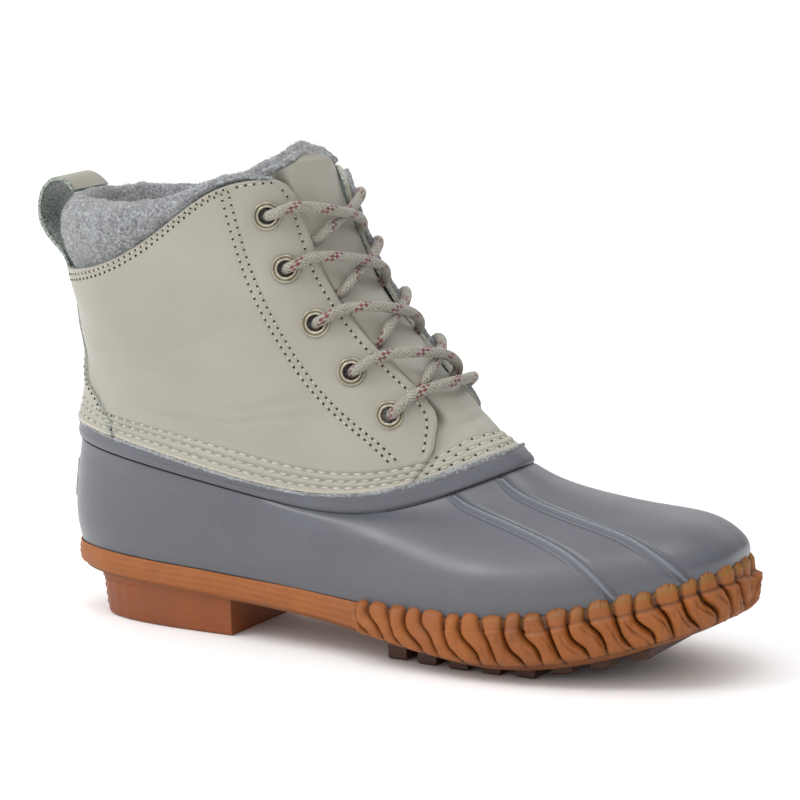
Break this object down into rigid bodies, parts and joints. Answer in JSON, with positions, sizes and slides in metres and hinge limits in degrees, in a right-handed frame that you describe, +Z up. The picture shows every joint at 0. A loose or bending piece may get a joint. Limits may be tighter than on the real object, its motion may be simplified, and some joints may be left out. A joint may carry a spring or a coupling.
{
  "type": "duck boot",
  "caption": "Right ankle-high duck boot: moulded rubber foot, laced leather shaft, padded fleece collar and a gum outsole with a scalloped rand.",
  "frame": {"origin": "on the floor under the heel block, on its middle line and 28 mm behind its breast", "axes": "+X towards the toe, +Y towards the medial side, +Z up"},
  "size_m": [0.3076, 0.1027, 0.1924],
  "materials": {
    "gum": "satin moulded gum rubber",
    "rubber": "satin blue-grey rubber",
    "leather": "satin pebbled greige leather",
    "tongue": "satin pebbled greige leather with fleece backing",
    "strap": "smooth leather outside, suede inside",
    "insole": "short grey fleece",
    "fleece": "heather grey fleece",
    "nickel": "antique nickel plate",
    "lace": "round braided cord with dark red flecks"
  },
  "bodies": {
    "root": {"outsole": "gum", "shell": "rubber", "shaft": "leather", "tongue": "tongue", "insole": "insole", "collar": "fleece", "pull_loop": "strap", "eyelet_out_1": "nickel", "eyelet_out_2": "nickel", "eyelet_out_3": "nickel", "eyelet_out_4": "nickel", "eyelet_out_5": "nickel", "eyelet_in_1": "nickel", "eyelet_in_2": "nickel", "eyelet_in_3": "nickel", "eyelet_in_4": "nickel", "eyelet_in_5": "nickel", "lace_cross_1": "lace", "lace_cross_2": "lace", "lace_cross_3": "lace", "lace_cross_4": "lace", "lace_bar": "lace"}
  },
  "joints": []
}
